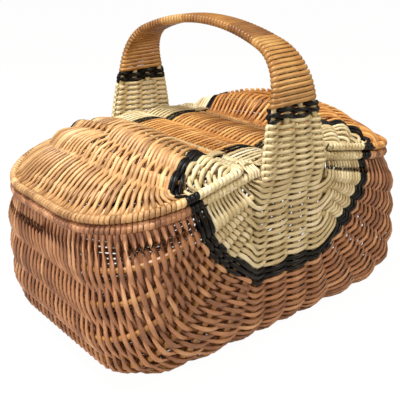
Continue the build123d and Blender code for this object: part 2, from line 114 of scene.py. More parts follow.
# The left lid's frame and the dome of its ribs, by share of the way out from the hinge
LID_ROD = 4.5
LID_HINGE_X = 60.2
LID_LIFT = 0.4
LID_CORNER = 9.0
LID_STEP = 2.0
LID_SLOPE = math.atan(RIM_DROP / (RIM_LENGTH - WAIST_LENGTH))
LID_RAISE = (RIM_RADIUS + LID_ROD + LID_LIFT) / math.cos(LID_SLOPE)
LID_RIB_RADIUS = 2.5
LID_SHARES = (0.0, 0.2, 0.4, 0.6, 0.8, 1.0)
LID_RISES = (0.0, 30.0, 40.0, 34.0, 19.0, 0.0)
LID_DOME_POWER = 2.4
LID_RIB_DROP = 3.3
LID_FADE_Y = 106.0

# Split strands: width between rods, width on a rod, and thickness
NARROW = 4.2
BROAD = 5.4
STRAND_THICK = 3.2
STRAND_SIDES = 6
WIDTH_SPREAD = (0.9, 1.07)
TONE_SPREAD = 0.6
GRAIN_START = 500.0
STREAK_LENGTH = 16.667
STREAKS_ROUND = 1.2

# Skeins wound round rods
BIND_THICK = 1.6
BIND_PITCH = 5.0
BIND_WIDTH = 5.3
BIND_SAMPLES = 9
BIND_TURNS = 2

# Where a row's end holds on to the rim: its lean up from the rim's outside, and how deep it sits
RIM_HOLD = ((0.9, 0.3), (-0.1, 0.9))

# The willow's colour: patches on the piece, streaks along the strand, and one tone for each strand
PATCH_SIZE = 18.18
PATCH_DETAIL = 3.0
PATCH_SHARE = 0.9
STREAK_DETAIL = 4.0
STREAK_SHARE = 0.5
TONE_SCALE = 0.62
DARK_AT, MIDDLE_AT, LIGHT_AT = 0.42, 0.7, 0.9375
FIBRE_HEIGHT = 0.4
PALE_ROD = "#cdbb8a"

# Samples on each round stretch of the rods
RIB_SAMPLES = 14
HOOP_SAMPLES = 9
SHOULDER_SAMPLES = 10
CROWN_SAMPLES = 8
CORNER_SAMPLES = 17

UP = np.array([0.0, 0.0, 1.0])
SIDEWAYS = np.array([1.0, 0.0, 0.0])
MIRROR_X = np.array([-1.0, 1.0, 1.0])
MIRROR_Y = np.array([1.0, -1.0, 1.0])
# A row is laid out at the front and turned to the back
ENDS = (("front", np.ones(3)), ("back", MIRROR_Y))


class Zone(Enum):
    """The three colours of willow, each with the name of its slot in the CAD part."""

    NATURAL = "buff_willow"
    BLACK = "black_willow"
    WHITE = "white_willow"


# A woven skin's pieces: the natural one is whole, the others lie apart at the front and the back
PARTS = (
    (Zone.NATURAL, "both"),
    (Zone.BLACK, "front"),
    (Zone.BLACK, "back"),
    (Zone.WHITE, "front"),
    (Zone.WHITE, "back"),
)
CAD_WORDS = {Zone.NATURAL: "weave", Zone.BLACK: "band", Zone.WHITE: "white"}
Finishes = dict[Zone, bpy.types.Material]


# Finishes
def rgb(code: str) -> tuple[float, float, float, float]:
    """Turns an sRGB hex code to linear colour.

    Args:
        code: the colour, such as #bb8359.

    Returns:
        Linear red, green and blue, and 1 for alpha.
    """
    parts = [int(code[i:i + 2], 16) / 255 for i in (1, 3, 5)]
    linear = [p / 12.92 if p <= 0.04045 else ((p + 0.055) / 1.055) ** 2.4 for p in parts]
    return (*linear, 1.0)


def add_node(tree: bpy.types.NodeTree, kind: str, inputs: dict[str | int, object] | None = None,
             **settings: object) -> bpy.types.Node:
    """Adds one node with its settings and links.

    Args:
        tree: where it goes.
        kind: its type, without the word ShaderNode in front.
        inputs: by name or number, a value for the input or the socket that is linked to it.
        settings: the node's own properties.

    Returns:
        The new node.
    """
    node = tree.nodes.new("ShaderNode" + kind)
    for key, value in settings.items():
        setattr(node, key, value)
    for key, value in (inputs or {}).items():
        if isinstance(value, bpy.types.NodeSocket):
            tree.links.new(value, node.inputs[key])
        else:
            node.inputs[key].default_value = value
    return node


def maths(tree: bpy.types.NodeTree, operation: str, *values: object) -> bpy.types.NodeSocket:
    """Result of a Math node, from numbers or sockets."""
    return add_node(tree, "Math", dict(enumerate(values)), operation=operation).outputs[0]


@dataclass(frozen=True)
class WillowFinish:
    """Split or round willow: streaked along the strand, each strand with its own tone."""

    name: str
    dark: str
    middle: str
    light: str
    roughness: float = 0.5
    coat: float = 0.15
    coat_roughness: float = 0.25
    shine: float = 0.5
    bump: float = 0.35
    pale_inside: float = 0.0

    def build(self) -> bpy.types.Material:
        """Makes the node material.

        Returns:
            The material.
        """
        material = bpy.data.materials.new(self.name)
        material.use_nodes = True
        tree = material.node_tree
        place = add_node(tree, "TexCoord").outputs["Object"]
        fibre = add_node(tree, "Attribute", attribute_name="grain").outputs["Vector"]
        streaks = add_node(tree, "TexNoise", {
            "Vector": fibre, "Scale": 1.0, "Detail": STREAK_DETAIL,
        })
        grain = streaks.outputs["Fac"]
        colour = self.ramp(tree, place, grain)
        if self.pale_inside:
            colour = self.paled(tree, place, colour)
        bump = add_node(tree, "Bump", {
            "Strength": self.bump, "Distance": FIBRE_HEIGHT * MM, "Height": grain,
        })
        shader = tree.nodes["Principled BSDF"]
        tree.links.new(colour, shader.inputs["Base Color"])
        tree.links.new(bump.outputs["Normal"], shader.inputs["Normal"])
        shader.inputs["Roughness"].default_value = self.roughness
        shader.inputs["Coat Weight"].default_value = self.coat
        shader.inputs["Coat Roughness"].default_value = self.coat_roughness
        shader.inputs["Specular IOR Level"].default_value = self.shine
        return material

    def ramp(self, tree: bpy.types.NodeTree, place: bpy.types.NodeSocket,
             grain: bpy.types.NodeSocket) -> bpy.types.NodeSocket:
        """Colours the willow from dark to light by patch, streak and the strand's tone.

        Args:
            tree: the material's nodes.
            place: Object coordinates.
            grain: the streaks.

        Returns:
            The colour.
        """
        tone = add_node(tree, "Attribute", attribute_name="tone").outputs["Fac"]
        patches = add_node(tree, "TexNoise", {
            "Vector": place, "Scale": 1 / (PATCH_SIZE * MM), "Detail": PATCH_DETAIL,
        })
        mixed = maths(tree, "MULTIPLY_ADD", patches.outputs["Fac"], PATCH_SHARE, tone)
        streaked = maths(tree, "MULTIPLY_ADD", grain, STREAK_SHARE, mixed)
        ramp = add_node(tree, "ValToRGB", {"Fac": maths(tree, "MULTIPLY", streaked, TONE_SCALE)})
        stops = ramp.color_ramp.elements
        stops[0].position, stops[0].color = DARK_AT, rgb(self.dark)
        stops[1].position, stops[1].color = LIGHT_AT, rgb(self.light)
        stops.new(MIDDLE_AT).color = rgb(self.middle)
        return ramp.outputs["Color"]

    def paled(self, tree: bpy.types.NodeTree, place: bpy.types.NodeSocket,
              colour: bpy.types.NodeSocket) -> bpy.types.NodeSocket:
        """Keeps rods pale near the pole axis, under the white weave.

        Args:
            tree: the material's nodes.
            place: Object coordinates.
            colour: the colour farther out.

        Returns:
            The colour with its pale middle.
        """
        apart = add_node(tree, "VectorMath", {
            0: place, 1: (1.0, 0.0, 1.0), 2: (0.0, 0.0, -AXIS_Z * MM),
        }, operation="MULTIPLY_ADD")
        far = add_node(tree, "VectorMath", {0: apart.outputs["Vector"]}, operation="LENGTH")
        beyond = maths(tree, "GREATER_THAN", far.outputs["Value"], self.pale_inside * MM)
        mix = add_node(tree, "Mix", {"Factor": beyond, 6: rgb(PALE_ROD), 7: colour}, data_type="RGBA")
        return mix.outputs[2]


# Buff willow, boiled in its bark and split: satin, brown with a pink cast
BUFF = WillowFinish("buff_split_willow", "#8a5b3e", "#bb8359", "#dfb083")
# Buff willow on the left lid, a lighter straw copy of the buff: partly a paler batch of rods, partly painted
# light for the stronger light on this lid. Satin, straw coloured
STRAW_PAINTED_LIGHT = WillowFinish("straw_painted_light_willow", "#9c7145", "#d3a56c", "#efd097")
# Buff willow on the strip and the right lid, an orange honey copy of the buff: partly riper rods, partly
# painted light and shade, as these tilt away from the light. Satin, honey coloured
HONEY_PAINTED_LIGHT = WillowFinish("honey_painted_light_willow", "#a0652f", "#d2954e", "#edbd74")
# Split willow dyed black: nearly no colour left, with a dull shine on its edges
BLACK = WillowFinish("black_dyed_willow", "#050404", "#0a0808", "#151011",
                     roughness=0.42, coat=0.0, shine=0.28)
# White willow, peeled in spring and split: satin, cream with a little yellow
WHITE = WillowFinish("white_peeled_willow", "#bfa97a", "#e0cfa2", "#f5e8cb")
# Glossy cane, wound round the grip: smooth, honey brown, a brighter glint than the willow's
CANE = WillowFinish("honey_cane", "#7c4e23", "#a97638", "#cc9f5c", roughness=0.42, coat=0.25)
# Round peeled rods of the ribs and hoops: golden where they show between the weavers
ROD = WillowFinish("golden_rod_willow", "#a8743a", "#d3a058", "#ecc888", pale_inside=118.0)


# Lines and strands
def unit(v: np.ndarray) -> np.ndarray:
    """Rows of v scaled to length one."""
    return v / np.maximum(np.linalg.norm(v, axis=-1, keepdims=True), 1e-9)


def over(count: int) -> int:
    """Outside the rod (1) at odd counts, inside it (-1) at even ones."""
    return 1 if count % 2 else -1


def distances(line: np.ndarray) -> np.ndarray:
    """Distance of each point along a line."""
    return np.concatenate([[0], np.cumsum(np.linalg.norm(np.diff(line, axis=0), axis=1))])


def read_line(s: float | np.ndarray, lengths: np.ndarray, line: np.ndarray) -> np.ndarray:
    """Values of a line at distances along it."""
    return np.stack([np.interp(s, lengths, line[:, i]) for i in range(3)], axis=-1)


def smooth(crossings: np.ndarray, steps: int) -> tuple[np.ndarray, np.ndarray]:
    """Catmull-Rom curve of a strand through its crossings.

    Args:
        crossings: rows of x, y, z and the three parts of the outward normal.
        steps: samples in each interval.

    Returns:
        The middle line and its normals, both ends included.
    """
    ends = np.vstack([2 * crossings[0] - crossings[1], crossings, 2 * crossings[-1] - crossings[-2]])
    a, b, c, d = ends[:-3, None], ends[1:-2, None], ends[2:-1, None], ends[3:, None]
    t = (np.arange(steps) / steps)[None, :, None]
    bend = (2 * a - 5 * b + 4 * c - d) * t ** 2 + (3 * b - 3 * c + d - a) * t ** 3
    curve = 0.5 * (2 * b + (c - a) * t + bend)
    rows = np.vstack([curve.reshape(-1, crossings.shape[1]), crossings[-1]])
    return rows[:, :3], unit(rows[:, 3:])


def swelling(samples: int, steps: int, narrow: float = NARROW, broad: float = BROAD) -> np.ndarray:
    """Widths of a strand: broad over each rod, narrow where it slips between its neighbours."""
    return narrow + (broad - narrow) * np.cos(np.pi * np.arange(samples) / steps) ** 2


@dataclass
class StrandMesh:
    """Gathers many flattened strands into one mesh."""

    seed: int
    points: list[np.ndarray] = field(default_factory=list)
    quads: list[np.ndarray] = field(default_factory=list)
    caps: list[list[int]] = field(default_factory=list)
    tones: list[np.ndarray] = field(default_factory=list)
    grains: list[np.ndarray] = field(default_factory=list)
    count: int = 0

    def __post_init__(self) -> None:
        """Starts the seeded draws."""
        self.random = np.random.default_rng(self.seed)

    def strand(self, path: np.ndarray, normals: np.ndarray, width: float | np.ndarray, thick: float) -> None:
        """Adds one strand.

        Args:
            path: its middle line, rows of x, y, z in millimetres.
            normals: outward direction at each row.
            width: size across the strand.
            thick: size along the normal.
        """
        run = unit(np.gradient(path, axis=0))
        across = unit(np.cross(run, normals))
        out = unit(np.cross(across, run))
        corner = np.arange(STRAND_SIDES)
        turn = 2 * np.pi * (corner + 0.5) / STRAND_SIDES
        uneven = self.random.uniform(*WIDTH_SPREAD)
        half = np.broadcast_to(np.asarray(width, dtype=float) * uneven / 2, (len(path),))[:, None, None]
        wide = np.cos(turn)[None, :, None] * across[:, None] * half
        high = np.sin(turn)[None, :, None] * out[:, None] * thick / 2
        self.points.append((path[:, None] + wide + high).reshape(-1, 3))
        rows = len(path)
        start = self.count + np.arange(rows - 1)[:, None] * STRAND_SIDES
        first = start + corner
        beside = start + (corner + 1) % STRAND_SIDES
        ring = np.stack([first, beside, beside + STRAND_SIDES, first + STRAND_SIDES], axis=-1)
        self.quads.append(ring.reshape(-1, 4))
        end = self.count + rows * STRAND_SIDES
        self.caps.append(list(range(self.count + STRAND_SIDES - 1, self.count - 1, -1)))
        self.caps.append(list(range(end - STRAND_SIDES, end)))
        self.count = end
        self.tones.append(np.full(rows * STRAND_SIDES, self.random.uniform(0.0, TONE_SPREAD)))
        along = (distances(path) + self.random.uniform(0, GRAIN_START)) / STREAK_LENGTH
        self.grains.append(np.stack([
            np.repeat(along, STRAND_SIDES),
            np.tile(np.cos(turn) * STREAKS_ROUND, rows),
            np.tile(np.sin(turn) * STREAKS_ROUND, rows),
        ], axis=-1))

    def build(self, name: str, material: bpy.types.Material) -> bpy.types.Object:
        """Writes the mesh.

        Args:
            name: the piece's name.
            material: its finish.

        Returns:
            The new object.
        """
        mesh = bpy.data.meshes.new(name)
        quads = np.vstack(self.quads)
        mesh.from_pydata((np.vstack(self.points) * MM).tolist(), [], quads.tolist() + self.caps)
        tone = mesh.attributes.new("tone", "FLOAT", "POINT")
        tone.data.foreach_set("value", np.concatenate(self.tones))
        grain = mesh.attributes.new("grain", "FLOAT_VECTOR", "POINT")
        grain.data.foreach_set("vector", np.vstack(self.grains).ravel())
        mesh.polygons.foreach_set("use_smooth", [True] * len(mesh.polygons))
        mesh.materials.append(material)
        piece = bpy.data.objects.new(name, mesh)
        bpy.context.scene.collection.objects.link(piece)
        mesh.validate()
        bpy.ops.object.select_all(action="DESELECT")
        piece.select_set(True)
        bpy.context.view_layer.objects.active = piece
        bpy.ops.object.mode_set(mode="EDIT")
        bpy.ops.mesh.select_all(action="SELECT")
        bpy.ops.mesh.normals_make_consistent(inside=False)
        bpy.ops.object.mode_set(mode="OBJECT")
        return piece


def add_piece(mesh: StrandMesh, name: str, material: bpy.types.Material, body: str,
              node: str = "") -> None:
    """Writes strands as a finished piece of the basket.

    Args:
        mesh: the strands.
        name: the piece's name.
        material: its finish.
        body: the body that carries it.
        node: the CAD node that it stands in for, if any.
    """
    piece = mesh.build(name, material)
    if node:
        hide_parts(node)
    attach(piece, body)
    LOG.info("%s: %d strands", name, len(mesh.quads))


def zone_at(place: float, white: float, black: float) -> Zone:
    """Colour at a place on the way out from a pole, by where the white and the black end."""
    beyond = Zone.BLACK if place < black else Zone.NATURAL
    return Zone.WHITE if place < white else beyond


def part_of(zone: Zone, end: str) -> tuple[Zone, str]:
    """The piece of a woven skin that a strand joins."""
    return (zone, "both") if zone is Zone.NATURAL else (zone, end)


def cad_node(owner: str, zone: Zone, end: str) -> str:
    """Name of the CAD node that holds a piece of an owner's woven skin."""
    return f"{owner}_{CAD_WORDS[zone]}" + ("" if end == "both" else f"_{end}")


def add_skin(meshes: dict[tuple[Zone, str], StrandMesh], owner: str, body: str, finishes: Finishes) -> None:
    """Writes the pieces of a woven skin, each named for its CAD node.

    Args:
        meshes: the strands of each piece.
        owner: the first word of the CAD nodes.
        body: the body that carries them.
        finishes: material of each colour.
    """
    for (zone, end), mesh in meshes.items():
        node = cad_node(owner, zone, end)
        add_piece(mesh, f"woven_{node}", finishes[zone], body, node)


@dataclass
class Track:
    """A rod's middle line with its outward normals, read by distance along it."""

    points: np.ndarray
    normals: np.ndarray | None = None
    radius: float = 0.0

    def __post_init__(self) -> None:
        """Measures the line."""
        self.lengths = distances(self.points)

    @property
    def length(self) -> float:
        """Whole length of the line."""
        return float(self.lengths[-1])

    def at(self, s: float | np.ndarray) -> np.ndarray:
        """Point at a distance along the line."""
        return read_line(s, self.lengths, self.points)

    def normal(self, s: float | np.ndarray) -> np.ndarray:
        """Outward normal at a distance along the line."""
        return unit(read_line(s, self.lengths, self.normals))

    def crossing(self, s: float, way: int) -> np.ndarray:
        """Point and outward normal, as one row, of a strand outside (1) or inside (-1) the rod."""
        normal = self.normal(s)
        return np.concatenate([self.at(s) + normal * way * (self.radius + STRAND_THICK / 2), normal])


@dataclass
class Binding:
    """Split willow wound round a bent rod, turn beside turn."""

    name: str
    line: np.ndarray
    radius: float
    zone_of: Callable[[np.ndarray], Zone]
    seed: int
    body: str
    node: str

    def wind(self) -> dict[Zone, StrandMesh]:
        """Winds the strands, a new one every other turn and where the colour changes.

        Returns:
            The strands of each colour.
        """
        meshes = {zone: StrandMesh(self.seed + i) for i, zone in enumerate(Zone)}
        track = Track(self.line)
        turns = int(track.length / BIND_PITCH)
        middle = track.at(np.linspace(0, track.length, turns * BIND_SAMPLES + 1))
        run = unit(np.gradient(middle, axis=0))
        side = unit(np.cross(run, UP))
        high = np.cross(side, run)
        turn = 2 * np.pi * np.arange(len(middle)) / BIND_SAMPLES
        out = side * np.cos(turn)[:, None] + high * np.sin(turn)[:, None]
        helix = middle + out * (self.radius - BIND_THICK / 2)
        zones = [self.zone_of(p) for p in middle]
        start = 0
        for i in range(1, len(middle) + 1):
            same = i < len(middle) and zones[i] is zones[start]
            if same and i - start < BIND_SAMPLES * BIND_TURNS:
                continue
            end = min(i + 1, len(middle))
            if end - start > 2:
                meshes[zones[start]].strand(helix[start:end], out[start:end], BIND_WIDTH, BIND_THICK)
            start = i
        return meshes

    def build(self, finishes: Finishes) -> None:
        """Writes one piece for each colour; the natural one stands in for the rod's CAD node.

        Args:
            finishes: material of each colour.
        """
        for zone, mesh in self.wind().items():
            node = self.node if zone is Zone.NATURAL else ""
            add_piece(mesh, f"{self.name}_{zone.name.lower()}", finishes[zone], self.body, node)


# The basket's rods, laid out as in the CAD part
def arc(centre: tuple[float, float], radius: float, start: float, end: float,
        count: int) -> list[tuple[float, float]]:
    """Points of a plane arc between two angles in radians."""
    turns = np.linspace(start, end, count)
    return [(centre[0] + radius * math.cos(t), centre[1] + radius * math.sin(t)) for t in turns]


def body_reach(angle: float) -> float:
    """Distance from the pole axis to a rib's middle.

    Args:
        angle: the rib's angle under the rim, in radians.

    Returns:
        The distance.
    """
    across = (abs(math.cos(angle)) / BODY_HALF_LENGTH) ** SECTION_POWER
    down = (abs(math.sin(angle)) / BODY_DEPTH) ** SECTION_POWER
    return (across + down) ** (-1 / SECTION_POWER)


def rib_track(angle_deg: float) -> Track:
    """A left rib's front half, from the pole axis to the middle of the end or base.

    Args:
        angle_deg: the rib's angle under the rim, in degrees.

    Returns:
        The rib.
    """
    angle = math.radians(angle_deg)
    reach = body_reach(angle)
    radius = WALL_CORNER + (BASE_CORNER - WALL_CORNER) * math.sin(angle) ** CORNER_POWER
    pole = (0.0, -POLE_HALF_WIDTH)
    centre = (reach - radius, -(BODY_HALF_WIDTH - radius))
    gap = math.hypot(centre[0] - pole[0], centre[1] - pole[1])
    tilt = math.atan2(centre[1] - pole[1], centre[0] - pole[0]) - math.asin(radius / gap)
    flat = [pole] + arc(centre, radius, tilt - math.pi / 2, 0.0, RIB_SAMPLES) + [(reach, 0.0)]
    side = (math.sin(tilt), -math.cos(tilt))
    facing = [side] + arc((0.0, 0.0), 1.0, tilt - math.pi / 2, 0.0, RIB_SAMPLES) + [(1.0, 0.0)]
    out = np.array([-math.cos(angle), 0.0, -math.sin(angle)])
    base = UP * (AXIS_Z - DIP * math.cos(angle) ** DIP_POWER)
    along = np.array([0.0, 1.0, 0.0])
    points = np.array([base + out * r + along * y for r, y in flat])
    normals = np.array([out * r + along * y for r, y in facing])
    return Track(points, unit(normals), RIB_RADIUS)


def leg_y(z: float) -> float:
    """Distance of the handle's hoops from the middle.

    Args:
        z: height above the rim, negative inside the basket.

    Returns:
        The distance along y.
    """
    if z < 0:
        return HOOP_BASE_Y + (HOOP_INSIDE_Y - HOOP_BASE_Y) * min(-z / HOOP_INSIDE_Z, 1.0)
    return HOOP_BASE_Y + (LEG_TOP_Y - HOOP_BASE_Y) * z / LEG_HEIGHT


def arch_points() -> list[tuple[float, float]]:
    """The handle's middle line from the front leg's foot to the crown.

    Returns:
        Points as y and height above the rim.
    """
    lean = math.atan2(HOOP_BASE_Y - LEG_TOP_Y, LEG_HEIGHT)
    end = math.radians(SHOULDER_END)
    centre_y = -LEG_TOP_Y + SHOULDER_RADIUS * math.cos(lean)
    centre_z = LEG_HEIGHT - SHOULDER_RADIUS * math.sin(lean)
    points = [(-leg_y(0.0), 0.0)]
    for turn in np.linspace(lean, end, SHOULDER_SAMPLES):
        y = centre_y - SHOULDER_RADIUS * math.cos(turn)
        points.append((y, centre_z + SHOULDER_RADIUS * math.sin(turn)))
    crown_radius = -points[-1][0] / math.cos(end)
    crown_z = points[-1][1] - crown_radius * math.sin(end)
    for turn in np.linspace(end, math.pi / 2, CROWN_SAMPLES)[1:]:
        points.append((-crown_radius * math.cos(turn), crown_z + crown_radius * math.sin(turn)))
    return points


CROWN_Z = arch_points()[-1][1]


def row_half(z: float) -> float:
    """Half the spread of the four hoops.

    Args:
        z: height above the rim, negative inside the basket.

    Returns:
        Distance of the outer hoops from the middle plane.
    """
    if z <= 0:
        return ROW_BASE + (ROW_BOTTOM - ROW_BASE) * (-z / BODY_DEPTH)
    return ROW_TOP + (ROW_BASE - ROW_TOP) * (1 - (z / CROWN_Z) ** ROW_POWER)


def hoop_track(place: float) -> Track:
    """A handle hoop's front half below the rim, from the rim to the middle of the base.

    Args:
        place: its place in the row, from -1 to 1.

    Returns:
        The hoop.
    """
    flat = [(-leg_y(z), z) for z in (0.0, -HOOP_INSIDE_Z)]
    facing = [(-1.0, 0.0)] * len(flat)
    centre = (-HOOP_WALL_Y + BASE_CORNER, -BODY_DEPTH + BASE_CORNER)
    flat += arc(centre, BASE_CORNER, math.pi, 1.5 * math.pi, HOOP_SAMPLES) + [(0.0, -BODY_DEPTH)]
    facing += arc((0.0, 0.0), 1.0, math.pi, 1.5 * math.pi, HOOP_SAMPLES) + [(0.0, -1.0)]
    points = np.array([(place * row_half(z), y, AXIS_Z + z) for y, z in flat])
    normals = np.array([(0.0, y, z) for y, z in facing])
    return Track(points, normals, HOOP_RADIUS)


def side_y(x: float) -> float:
    """Middle of the rim's long side at x."""
    return WAIST_WIDTH + (RIM_WIDTH - WAIST_WIDTH) * (x - WAIST_LENGTH) / (RIM_LENGTH - WAIST_LENGTH)


def rounded(corners: list[tuple[float, float, float, float]], step: float) -> np.ndarray:
    """A closed line through corners, each rounded to its radius, resampled evenly.

    Args:
        corners: x, y, z and the bending radius of each corner.
        step: distance between samples.

    Returns:
        Rows of points; the last one repeats the first.
    """
    points = np.array([c[:3] for c in corners])
    line = []
    count = len(points)
    for i in range(count):
        back = unit(points[i - 1] - points[i])
        ahead = unit(points[(i + 1) % count] - points[i])
        half = math.acos(float(np.clip(back @ ahead, -1, 1))) / 2
        radius = corners[i][3]
        reach = radius / math.tan(half)
        middle = points[i] + unit(back + ahead) * radius / math.sin(half)
        first = points[i] + back * reach - middle
        last = points[i] + ahead * reach - middle
        spread = math.pi - 2 * half
        for t in np.linspace(0, 1, CORNER_SAMPLES):
            a = math.sin((1 - t) * spread) / math.sin(spread)
            b = math.sin(t * spread) / math.sin(spread)
            line.append(middle + first * a + last * b)
    whole = Track(np.array(line + [line[0]]))
    return whole.at(np.linspace(0, whole.length, int(whole.length / step)))


def rim_line() -> np.ndarray:
    """The rim hoop's middle line, all round.

    Returns:
        Rows of points.
    """
    quarter = [(WAIST_LENGTH, -WAIST_WIDTH, 0.0, WAIST_BEND), (RIM_LENGTH, -RIM_WIDTH, -RIM_DROP, RIM_CORNER)]
    right = quarter + [(x, -y, z, r) for x, y, z, r in reversed(quarter)]
    left = [(-x, y, z, r) for x, y, z, r in reversed(right)]
    return rounded([(x, y, AXIS_Z + z, r) for x, y, z, r in right + left], RIM_STEP)


def lid_z(x: float) -> float:
    """Height above the pole axis of the lid frame's middle line, at x from the middle plane."""
    return LID_RAISE - (x - WAIST_LENGTH) * math.tan(LID_SLOPE)


BAR_Z = lid_z(LID_HINGE_X)


def lid_line() -> np.ndarray:
    """The left lid frame's middle line, all round.

    Returns:
        Rows of points.
    """
    near = (-LID_HINGE_X, -side_y(LID_HINGE_X), LID_CORNER)
    far = (-RIM_LENGTH, -RIM_WIDTH, RIM_CORNER)
    plan = [near, far, (far[0], -far[1], far[2]), (near[0], -near[1], near[2])]
    return rounded([(x, y, AXIS_Z + lid_z(-x), r) for x, y, r in plan], LID_STEP)


# The woven body
@dataclass
class BodyWeave:
    """Weavers that run from rim to rim across the ribs, out from both poles."""

    white_rows: int = 29
    black_rows: int = 5
    natural_rows: int = 52
    inner_x: float = 48.0
    inner_z: float = 5.0
    black_x: tuple[float, float] = (113.0, 128.0)
    black_z: tuple[float, float] = (106.0, 122.0)
    black_size: tuple[float, float, float] = (4.6, 5.6, 3.6)
    steps: int = 4

    def __post_init__(self) -> None:
        """Lays out the rods that the weavers cross, left to right."""
        line = rim_line()
        front = line[(line[:, 1] <= 0.5) & (line[:, 0] <= 0.0)]
        quarter = front[np.argsort(np.arctan2(-front[:, 0], -front[:, 1]))]
        quarter = np.vstack([[0.0, -WAIST_WIDTH, AXIS_Z], quarter])
        x, y = quarter[:, 0], quarter[:, 1]
        normals = unit(np.stack([np.gradient(y), -np.gradient(x), np.zeros(len(quarter))], axis=-1))
        self.rim = Track(quarter, normals, RIM_RADIUS)
        self.ribs = [rib_track(a) for a in RIB_ANGLES]
        self.hoops = [hoop_track(p) for p in (-1.0, -1 / 3, 1 / 3, 1.0)]

    def ring(self, row: int) -> tuple[float, float, float]:
        """The row's ring round the pole.

        Args:
            row: the row's number from the pole.

        Returns:
            Half-axes of its ellipse, and its share of the way beyond the black band.
        """
        limits = (0, self.white_rows, self.white_rows + self.black_rows)
        wide = float(np.interp(row, limits, (self.inner_x, *self.black_x)))
        deep = float(np.interp(row, limits, (self.inner_z, *self.black_z)))
        # The last row lies half a row short of the middle of the end
        return wide, deep, max(row - limits[2], 0) / (self.natural_rows - 0.5)

    def place(self, track: Track, angle: float, row: int) -> float:
        """Distance along a rod where the row crosses it.

        Args:
            track: the rod.
            angle: its angle under the rim, in radians.
            row: the row's number from the pole.

        Returns:
            The distance.
        """
        wide, deep, beyond = self.ring(row)
        s = 1 / math.hypot(math.cos(angle) / wide, math.sin(angle) / deep)
        return s + (track.length - s) * beyond

    def half(self, row: int, turn: int) -> list[np.ndarray]:
        """Crossings of a row on the left, from the rim to the outer hoop.

        Args:
            row: the row's number from the pole.
            turn: 1 or 0; the two sides of the basket go over and under in turn.

        Returns:
            Each crossing's point and outward normal, as one row.
        """
        s = self.place(self.rim, 0.0, row)
        rim_point, out = self.rim.at(s), self.rim.normal(s)
        crossings = []
        for lean, depth in RIM_HOLD:
            side = out * math.cos(lean) + UP * math.sin(lean)
            crossings.append(np.concatenate([rim_point + side * (RIM_RADIUS - depth), side]))
        for i, (track, angle_deg) in enumerate(zip(self.ribs, RIB_ANGLES)):
            angle = math.radians(angle_deg)
            s = self.place(track, angle, row)
            if s * math.cos(angle) >= RIB_START_X + RIB_START_GAP:
                crossings.append(track.crossing(s, over(i + row + turn)))
        return crossings

    def row(self, row: int, turn: int) -> tuple[np.ndarray, np.ndarray]:
        """A row's whole middle line and normals, laid out at the front.

        Args:
            row: the row's number from the pole.
            turn: 0 at the front and 1 at the back, where each row goes the other way.

        Returns:
            The line and the outward normals.
        """
        crossings = self.half(row, turn)
        for i, track in enumerate(self.hoops):
            s = self.place(track, math.pi / 2, row)
            crossings.append(track.crossing(s, over(i + row + turn + len(RIB_ANGLES))))
        crossings += [c * np.tile(MIRROR_X, 2) for c in self.half(row, 1 - turn)[::-1]]
        return smooth(np.array(crossings), self.steps)

    def zone(self, row: int) -> Zone:
        """Colour of a row."""
        return zone_at(row, self.white_rows, self.white_rows + self.black_rows)

    def rim_zone(self, point: np.ndarray) -> Zone:
        """Colour of the rim's binding at a point."""
        return zone_at(abs(point[0]), *self.black_x)

    def build(self, finishes: Finishes) -> None:
        """Weaves both halves and binds the rim.

        Args:
            finishes: material of each colour.
        """
        meshes = {part: StrandMesh(SEED + i) for i, part in enumerate(PARTS)}
        for row in range(self.white_rows + self.black_rows + self.natural_rows):
            zone = self.zone(row)
            # The black band is paired and thicker
            narrow, broad, thick = self.black_size if zone is Zone.BLACK else (NARROW, BROAD, STRAND_THICK)
            for turn, (end, flip) in enumerate(ENDS):
                line, normals = self.row(row, turn)
                widths = swelling(len(line), self.steps, narrow, broad)
                meshes[part_of(zone, end)].strand(line * flip, normals * flip, widths, thick)
        for (zone, end), mesh in meshes.items():
            name = "woven_body" if end == "both" else f"woven_{zone.name.lower()}_{end}"
            add_piece(mesh, name, finishes[zone], "basket", cad_node("body", zone, end))
        line, seed = rim_line(), SEED + 20
        Binding("rim_binding", line, RIM_RADIUS, self.rim_zone, seed, "basket", "rim_hoop").build(finishes)


